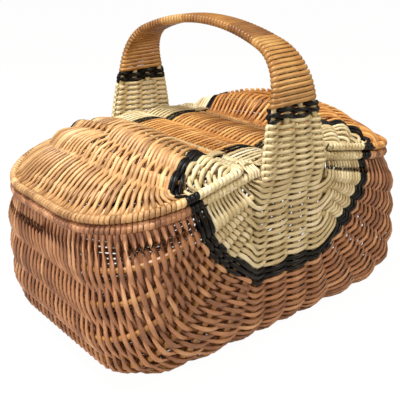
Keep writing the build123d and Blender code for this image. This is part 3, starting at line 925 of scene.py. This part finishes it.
# The handle
@dataclass
class HandleWeave:
    """Plain weave up both legs, a black band, and a cane wrap over the grip."""

    sleeve_foot: float = -3.0
    sleeve_pitch: float = 3.1
    sleeve_width: float = 4.3
    band_gap: float = 0.5
    band_pitch: float = 3.25
    band_width: float = 5.0
    steps: int = 3
    wrap_pitch: float = 4.9
    wrap_width: float = 5.3
    wrap_samples: int = 18
    wrap_turns: int = 8
    wrap_clearance: float = 0.3
    wrap_power: float = 0.45
    wrap_lean: float = 0.4
    arch_samples: int = 900

    def leg(self, mesh: StrandMesh, z_from: float, z_to: float, flip: int, pitch: float,
            width: float) -> None:
        """Weaves one stretch of a leg back and forth across the four hoops.

        Args:
            mesh: where the strand goes.
            z_from: start height above the rim.
            z_to: end height.
            flip: 1 for the front leg, -1 for the back leg.
            pitch: distance between rows.
            width: width of the strand.
        """
        rows = max(round((z_to - z_from) / pitch), 1)
        out = HOOP_RADIUS + STRAND_THICK / 2
        crossings = []
        for i in range(rows):
            z = z_from + (i + 0.5) * (z_to - z_from) / rows
            spread = row_half(z)
            y = -leg_y(z)
            line = [(-spread - out, y, -1.0, 0.0)]
            for k, x in enumerate((-spread, -spread / 3, spread / 3, spread)):
                line.append((x, y - out * (-1) ** (i + k), 0.0, -1.0))
            line.append((spread + out, y, 1.0, 0.0))
            for x, row_y, nx, ny in line if i % 2 == 0 else line[::-1]:
                crossings.append((x, row_y * flip, AXIS_Z + z, nx, ny * flip, 0.0))
        path, normals = smooth(np.array(crossings), self.steps)
        mesh.strand(path, normals, width, STRAND_THICK)

    def grip(self, mesh: StrandMesh) -> None:
        """Winds cane round the four hoops from band to band.

        Args:
            mesh: where the strands go.
        """
        half = np.array(arch_points())
        arch = np.vstack([half, half[-2::-1] * [-1, 1]])
        whole = Track(np.column_stack([np.zeros(len(arch)), arch]))
        samples = whole.at(np.linspace(0, whole.length, self.arch_samples))
        track = Track(samples[samples[:, 2] >= BAND_HEAD])
        turns = int(track.length / self.wrap_pitch)
        middle = track.at(np.linspace(0, track.length, turns * self.wrap_samples + 1))
        out = np.cross(unit(np.gradient(middle, axis=0)), SIDEWAYS)
        turn = 2 * np.pi * np.arange(len(middle)) / self.wrap_samples
        high = HOOP_RADIUS + BIND_THICK / 2 + self.wrap_clearance
        spread = np.array([row_half(z) for z in middle[:, 2]]) + high
        c, s = np.cos(turn), np.sin(turn)
        across = np.sign(c) * np.abs(c) ** self.wrap_power * spread
        up = np.sign(s) * np.abs(s) ** self.wrap_power * high
        path = middle + across[:, None] * SIDEWAYS + up[:, None] * out + UP * AXIS_Z
        normals = unit(c[:, None] * SIDEWAYS * self.wrap_lean + s[:, None] * out)
        for start in range(0, turns, self.wrap_turns):
            first = start * self.wrap_samples
            last = min(start + self.wrap_turns, turns) * self.wrap_samples + 1
            mesh.strand(path[first:last], normals[first:last], self.wrap_width, BIND_THICK)

    def build(self, finishes: Finishes, cane: bpy.types.Material) -> None:
        """Makes the five stretches of the handle.

        Args:
            finishes: material of each colour.
            cane: the grip's material.
        """
        for end, flip in (("front", 1), ("back", -1)):
            sleeve = StrandMesh(SEED + 40 + flip)
            head = BAND_FOOT - self.band_gap
            self.leg(sleeve, self.sleeve_foot, head, flip, self.sleeve_pitch, self.sleeve_width)
            white, node = finishes[Zone.WHITE], f"handle_sleeve_{end}"
            add_piece(sleeve, f"leg_weave_{end}", white, "basket", node)
            band = StrandMesh(SEED + 44 + flip)
            self.leg(band, BAND_FOOT, BAND_HEAD, flip, self.band_pitch, self.band_width)
            black, node = finishes[Zone.BLACK], f"handle_band_{end}"
            add_piece(band, f"leg_band_{end}", black, "basket", node)
        wrap = StrandMesh(SEED + 50)
        self.grip(wrap)
        add_piece(wrap, "grip_wrap", cane, "basket", "handle_grip_wrap")


# The fixed strip
@dataclass
class StripWeave:
    """Rows of weave between the two hinge bars, looped round each bar and lashed to the rim."""

    pitch: float = 3.35
    width: float = 4.2
    white_y: float = 86.0
    black_y: float = 74.0
    bar_end_gap: float = 4.0
    tail: float = 2.0
    tail_lean: float = 0.2
    end_x: float = 42.0
    end_lift: float = 2.5
    end_thick: float = 2.0
    lash_turns: int = 4
    lash_pitch: float = 3.9
    lash_start: float = 7.5
    steps: int = 4

    def zone(self, y: float) -> Zone:
        """Colour of the strip at y."""
        return zone_at(-abs(y), -self.white_y, -self.black_y)

    def row(self, y: float, way: int) -> np.ndarray:
        """Crossings of a row, looped round both bars or, past their ends, laid on the rim.

        Args:
            y: the row's place along the strip.
            way: 1 or -1, above or below the left stake.

        Returns:
            Rows of a point and its outward normal.
        """
        loop = BAR_RADIUS - BIND_THICK / 2
        rise = way * (STAKE_RADIUS + STRAND_THICK / 2)
        # X, height and normal, from under the bar and round it to its top
        left = [
            (-BAR_X + self.tail, BAR_Z - loop, self.tail_lean, -1),
            (-BAR_X - loop, BAR_Z, -1, 0),
            (-BAR_X, BAR_Z + loop, 0, 1),
        ]
        if abs(y) >= WAIST_WIDTH - self.bar_end_gap:
            left = [(-self.end_x, BAR_Z + self.end_lift, 0, 1)]
        middle = [(-STAKE_X, STAKE_Z + rise, 0, 1), (STAKE_X, STAKE_Z - rise, 0, 1)]
        right = [(-x, z, -nx, nz) for x, z, nx, nz in reversed(left)]
        return np.array([(x, y, AXIS_Z + z, nx, 0.0, nz) for x, z, nx, nz in left + middle + right])

    def lash(self, meshes: dict[tuple[Zone, str], StrandMesh]) -> None:
        """Lashes the ends of both hinge bars to the rim.

        Args:
            meshes: the strip's strands by colour and end; these join the white ones.
        """
        rim = WAIST_WIDTH + 1.0
        # Y, height and normal, from under the bar to the outside of the rim
        line = [
            (rim - 14, BAR_Z - 3.5, -1, 0),
            (rim - 11.5, BAR_Z + BAR_RADIUS + 0.4, 0, 1),
            (rim - 3, RIM_RADIUS + 2.6, 0.3, 1),
            (rim + 3.6, RIM_RADIUS - 0.2, 0.8, 0.6),
            (rim + RIM_RADIUS + 0.3, -1.5, 1, 0),
        ]
        for flip, end in ((-1, "front"), (1, "back")):
            for side in (-1, 1):
                for turn in range(self.lash_turns):
                    x = side * (BAR_X - self.lash_start + turn * self.lash_pitch)
                    rows = np.array([(x, y * flip, AXIS_Z + z, 0.0, ny * flip, nz) for y, z, ny, nz in line])
                    path, normals = smooth(rows, self.steps)
                    meshes[(Zone.WHITE, end)].strand(path, normals, self.width, BIND_THICK)

    def build(self, finishes: Finishes) -> None:
        """Weaves the strip.

        Args:
            finishes: material of each colour.
        """
        meshes = {part: StrandMesh(SEED + 60 + i) for i, part in enumerate(PARTS)}
        rows = int(2 * STRIP_END_Y / self.pitch)
        for i in range(rows):
            y = -STRIP_END_Y + (i + 0.5) * 2 * STRIP_END_Y / rows
            path, normals = smooth(self.row(y, over(i)), self.steps)
            thick = BIND_THICK if abs(y) < WAIST_WIDTH - self.bar_end_gap else self.end_thick
            part = part_of(self.zone(y), "front" if y < 0 else "back")
            meshes[part].strand(path, normals, self.width, thick)
        self.lash(meshes)
        add_skin(meshes, "strip", "basket", finishes)


# The lids
@dataclass
class LidWeave:
    """A domed lid: weavers fan across nested ribs from the hinge edge to the frame."""

    side: str
    white_rows: int = 15
    black_rows: int = 5
    rows: int = 64
    hinge_white: float = 86.0
    hinge_black: float = 74.0
    rim_white: float = 118.0
    rim_black: float = 134.0
    long_side_y: float = 60.0
    corner_y: float = 42.0
    hinge_strip: float = 3.0
    inset: float = 1.0
    first_run: float = 8.0
    rib_clearance: float = 0.04
    rib_ramp: float = 4.0
    corner_rounds: int = 8
    probe_share: float = 0.08
    probe_y: float = 4.0
    narrow: float = 3.9
    broad: float = 5.0
    end_lift: float = 1.5
    steps: int = 4

    @property
    def mirror(self) -> np.ndarray:
        """Factors that bring the left lid to this side."""
        return np.ones(3) if self.side == "left" else MIRROR_X

    @staticmethod
    def edge_y() -> float:
        """Inner side of the frame at the hinge."""
        return side_y(LID_HINGE_X) - LID_ROD

    @staticmethod
    def wide(y: float, x: float) -> float:
        """Y of a section line, spread with the frame's sides."""
        return y * (side_y(x) - LID_ROD) / (side_y(LID_HINGE_X) - LID_ROD)

    def reach(self, y: float) -> float:
        """How far a section line runs before it meets the frame.

        Args:
            y: the section line's place at the hinge.

        Returns:
            Distance from the middle plane.
        """
        radius = RIM_CORNER - LID_ROD
        centre_x = RIM_LENGTH - RIM_CORNER
        slope = side_y(1) - side_y(0)
        centre_y = side_y(centre_x) - RIM_CORNER * math.sqrt(1 + slope ** 2)
        # The line's own spread depends on where it ends, so a few rounds settle both
        x = centre_x
        for _ in range(self.corner_rounds):
            beside = max(abs(self.wide(y, x)) - centre_y, 0)
            x = centre_x + math.sqrt(max(radius ** 2 - beside ** 2, 0))
        return x

    def surface(self, share: float, y: float) -> np.ndarray:
        """Middle of the lid's ribs.

        Args:
            share: share of the way out from the hinge.
            y: the section line's place at the hinge.

        Returns:
            The point.
        """
        near = LID_HINGE_X + LID_ROD - self.inset
        x = near + (self.reach(y) - near) * share
        rise = float(np.interp(share, LID_SHARES, LID_RISES))
        dome = 1 - (abs(y) / RIM_WIDTH) ** LID_DOME_POWER
        fade = float(np.clip((abs(y) - LID_FADE_Y) / (self.edge_y() - LID_FADE_Y), 0, 1))
        dome *= 1 - fade ** 2
        drop = LID_RIB_DROP * min(self.rib_ramp * share, self.rib_ramp * (1 - share), 1.0)
        return np.array([-x, self.wide(y, x), AXIS_Z + lid_z(x) + rise * dome - drop])

    def normal(self, share: float, y: float) -> np.ndarray:
        """Upward normal of the lid.

        Args:
            share: share of the way out from the hinge.
            y: the section line's place at the hinge.

        Returns:
            The direction, of length one.
        """
        edge = self.edge_y()
        near, far = max(share - self.probe_share, 0.0), min(share + self.probe_share, 1.0)
        a = self.surface(far, y) - self.surface(near, y)
        front, back = max(y - self.probe_y, -edge), min(y + self.probe_y, edge)
        b = self.surface(share, back) - self.surface(share, front)
        n = unit(np.cross(a, b))
        return n if n[2] > 0 else -n

    def zone(self, i: int) -> Zone:
        """Colour of a row."""
        return zone_at(i, self.white_rows, self.white_rows + self.black_rows)

    def frame_zone(self, point: np.ndarray) -> Zone:
        """Colour of the frame's binding.

        Args:
            point: the place on the frame.

        Returns:
            The colour.
        """
        x, y = abs(point[0]), abs(point[1])
        if x < LID_HINGE_X + self.hinge_strip:
            return zone_at(-y, -self.hinge_white, -self.hinge_black)
        return zone_at(x, self.rim_white, self.rim_black) if y > self.long_side_y else Zone.NATURAL

    def border(self, i: int) -> tuple[float, float, float]:
        """Where a row leaves the hinge side and where it meets the frame.

        Args:
            i: the row's number from the corner.

        Returns:
            Y on the hinge side, share of the way out at its end, and y at its end.
        """
        edge = self.edge_y()
        # A border between colours lies half a row before the next colour's first row
        limits = np.array([0, self.white_rows, self.white_rows + self.black_rows, self.rows]) - 0.5
        hinge = float(np.interp(i, limits, (edge - self.inset, self.hinge_white, self.hinge_black, 0.0)))
        reach = self.reach(edge)
        corner = (RIM_CORNER - LID_ROD) * math.pi / 2
        last = reach + corner + self.corner_y
        start = LID_HINGE_X + self.first_run
        run = float(np.interp(i, limits, (start, self.rim_white, self.rim_black, last)))
        if run < reach:
            return hinge, (run - LID_HINGE_X) / (reach - LID_HINGE_X), edge
        angle = (run - reach) / (RIM_CORNER - LID_ROD)
        if angle < math.pi / 2:
            return hinge, 1.0, min(self.corner_y + (edge - self.corner_y) * math.cos(angle), edge)
        return hinge, 1.0, last - run

    def row(self, i: int, turn: int) -> tuple[np.ndarray, np.ndarray]:
        """One row's middle line and normals, laid out on the front half of the left lid.

        Every other natural row is a packing row: it starts on the second or third rib, where
        the fan of rows has room for it.

        Args:
            i: the row's number from the corner.
            turn: 0 for the front half and 1 for the back half, where each row goes the other way.

        Returns:
            The line and the upward normals.
        """
        hinge, end_share, end_y = self.border(i)
        natural = self.zone(i) is Zone.NATURAL
        skipped = 1 + i % 4 // 3 if natural and i % 2 else 0
        crossings = []

        def cross(share: float, lift: float) -> None:
            """Adds one crossing.

            Args:
                share: share of the way out from the hinge.
                lift: how far it lies above the middle of the ribs.
            """
            y = -(hinge + (end_y - hinge) * share / end_share)
            normal = self.normal(share, y)
            crossings.append(np.concatenate([self.surface(share, y) + normal * lift, normal]))

        if not skipped:
            cross(0.0, self.end_lift)
        for k, share in enumerate(LID_SHARES[1:-1]):
            if k >= skipped and share < end_share - self.rib_clearance:
                count = i // 2 if natural and k == 0 else i
                cross(share, over(k + count + turn) * (LID_RIB_RADIUS + STRAND_THICK / 2))
        cross(end_share, self.end_lift)
        return smooth(np.array(crossings), self.steps)

    def build(self, finishes: Finishes) -> None:
        """Weaves the lid and binds its frame.

        Args:
            finishes: material of each colour.
        """
        seed = SEED + (80 if self.side == "left" else 100)
        meshes = {part: StrandMesh(seed + i) for i, part in enumerate(PARTS)}
        for i in range(self.rows):
            for turn, (end, flip) in enumerate(ENDS):
                line, normals = self.row(i, turn)
                placed = self.mirror * flip
                widths = swelling(len(line), self.steps, self.narrow, self.broad)
                mesh = meshes[part_of(self.zone(i), end)]
                mesh.strand(line * placed, normals * placed, widths, STRAND_THICK)
        lid = f"{self.side}_lid"
        add_skin(meshes, lid, lid, finishes)
        line = lid_line() * self.mirror
        binding = Binding(f"{lid}_binding", line, LID_ROD, self.frame_zone, seed + 10, lid, f"{lid}_frame")
        binding.build(finishes)


# The studio
@dataclass(frozen=True)
class Lamp:
    """A square lamp, in metres and watts, that faces the basket."""

    name: str
    place: tuple[float, float, float]
    power: float
    size: float
    tint: str


LAMPS = (
    Lamp("key", (-0.45, -0.05, 1.6), 28.0, 0.3, "#ffffff"),
    Lamp("side", (-1.5, -0.5, 0.7), 12.0, 0.4, "#fff4f2"),
    Lamp("fill", (0.95, -1.2, 1.2), 13.5, 0.3, "#fff0d6"),
)


@dataclass
class Studio:
    """Pale floor, soft light and the camera."""

    camera_place: tuple[float, float, float] = (-484.7, -592.9, AXIS_Z + 220.9)
    yaw: float = 51.735
    pitch: float = -21.147
    roll: float = -0.91
    lens: float = 61.66
    sensor: float = 36.0
    shift: tuple[float, float] = (0.0065, 0.001)
    floor_size: float = 12.0
    floor_drop: float = 0.0003
    floor_paint: str = "#c9c5be"
    floor_roughness: float = 0.9
    floor_glow: float = 0.9
    glow_strength: float = 1.08
    footprint: tuple[float, float] = (0.145, 0.075)
    footprint_edge: tuple[float, float] = (0.9, 1.1)
    surround: float = 0.17
    aim_z: float = 0.15

    def floor(self) -> None:
        """A pale floor that reaches out of view, white to the camera but dark under the basket."""
        bpy.ops.object.select_all(action="DESELECT")
        bpy.ops.mesh.primitive_plane_add(size=self.floor_size, location=(0, 0, self.floor_drop))
        floor = bpy.context.object
        floor.name = "studio_floor"
        # Matt paper: no shine, with a soft edge to the dark under the basket
        material = bpy.data.materials.new("pale_floor")
        material.use_nodes = True
        tree = material.node_tree
        shader = tree.nodes["Principled BSDF"]
        shader.inputs["Base Color"].default_value = rgb(self.floor_paint)
        shader.inputs["Roughness"].default_value = self.floor_roughness
        seen = add_node(tree, "LightPath").outputs["Is Camera Ray"]
        place = add_node(tree, "TexCoord").outputs["Object"]
        folded = add_node(tree, "VectorMath", {0: place}, operation="ABSOLUTE").outputs["Vector"]
        parts = add_node(tree, "SeparateXYZ", {"Vector": folded})
        wide, deep = (
            maths(tree, "DIVIDE", parts.outputs[axis], half) for axis, half in zip("XY", self.footprint)
        )
        start, end = self.footprint_edge
        apart = add_node(tree, "MapRange", {
            "Value": maths(tree, "MAXIMUM", wide, deep), "From Min": start, "From Max": end,
            "To Max": self.floor_glow,
        })
        share = maths(tree, "MULTIPLY", seen, apart.outputs["Result"])
        glow = add_node(tree, "Emission", {"Strength": self.glow_strength})
        mix = add_node(tree, "MixShader", {
            "Fac": share, 1: shader.outputs["BSDF"], 2: glow.outputs["Emission"],
        })
        tree.links.new(mix.outputs["Shader"], tree.nodes["Material Output"].inputs["Surface"])
        floor.data.materials.append(material)

    def light(self) -> None:
        """A surround that is white to the camera and dim to the basket, and three soft lamps."""
        world = bpy.data.worlds.new("studio")
        bpy.context.scene.world = world
        world.use_nodes = True
        tree = world.node_tree
        seen = add_node(tree, "LightPath").outputs["Is Camera Ray"]
        strength = add_node(tree, "MapRange", {"Value": seen, "To Min": self.surround})
        background = tree.nodes["Background"]
        background.inputs["Color"].default_value = (1, 1, 1, 1)
        tree.links.new(strength.outputs["Result"], background.inputs["Strength"])
        for lamp in LAMPS:
            data = bpy.data.lights.new(lamp.name, "AREA")
            data.energy = lamp.power
            data.size = lamp.size
            data.color = rgb(lamp.tint)[:3]
            light = bpy.data.objects.new(lamp.name, data)
            bpy.context.scene.collection.objects.link(light)
            light.location = lamp.place
            aim = Vector((0, 0, self.aim_z)) - Vector(lamp.place)
            light.rotation_euler = aim.to_track_quat("-Z", "Y").to_euler()

    def camera(self) -> None:
        """The camera at the photograph's angle."""
        data = bpy.data.cameras.new("photo_camera")
        data.lens = self.lens
        data.sensor_width = self.sensor
        data.shift_x, data.shift_y = self.shift
        camera = bpy.data.objects.new("photo_camera", data)
        bpy.context.scene.collection.objects.link(camera)
        yaw, pitch, roll = (math.radians(a) for a in (self.yaw, self.pitch, self.roll))
        ahead = Vector((math.cos(pitch) * math.cos(yaw), math.cos(pitch) * math.sin(yaw), math.sin(pitch)))
        right = ahead.cross(Vector((0, 0, 1))).normalized()
        up = right.cross(ahead)
        turned_right = right * math.cos(roll) + up * math.sin(roll)
        turned_up = up * math.cos(roll) - right * math.sin(roll)
        matrix = Matrix((turned_right, turned_up, -ahead)).transposed().to_4x4()
        matrix.translation = Vector(self.camera_place) * MM
        camera.matrix_world = matrix
        bpy.context.scene.camera = camera

    def build(self) -> None:
        """Sets the whole studio."""
        self.floor()
        self.light()
        self.camera()
        bpy.context.scene.view_settings.view_transform = "Standard"
        LOG.info("studio ready")


def dress_rods(rod: bpy.types.Material, pale: bpy.types.Material) -> None:
    """Gives the CAD rods that stay in view their finish.

    Args:
        rod: for ribs, hoops and stakes.
        pale: for the hinge bars and rings.
    """
    for name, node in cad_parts.items():
        node.data.materials.clear()
        node.data.materials.append(pale if "hinge" in name else rod)


def main() -> None:
    logging.basicConfig(level=logging.INFO, format="%(name)s: %(message)s")
    finishes = {Zone.NATURAL: BUFF.build(), Zone.BLACK: BLACK.build(), Zone.WHITE: WHITE.build()}
    dress_rods(ROD.build(), finishes[Zone.WHITE])
    BodyWeave().build(finishes)
    HandleWeave().build(finishes, CANE.build())
    # The honey copy of the buff willow on the strip and the right lid is partly painted light and shade
    honey = {**finishes, Zone.NATURAL: HONEY_PAINTED_LIGHT.build()}
    StripWeave().build(honey)
    # The left lid's straw copy of the buff willow is partly painted light
    LidWeave("left").build({**finishes, Zone.NATURAL: STRAW_PAINTED_LIGHT.build()})
    LidWeave("right").build(honey)
    Studio().build()


if __name__ == "__main__":
    main()
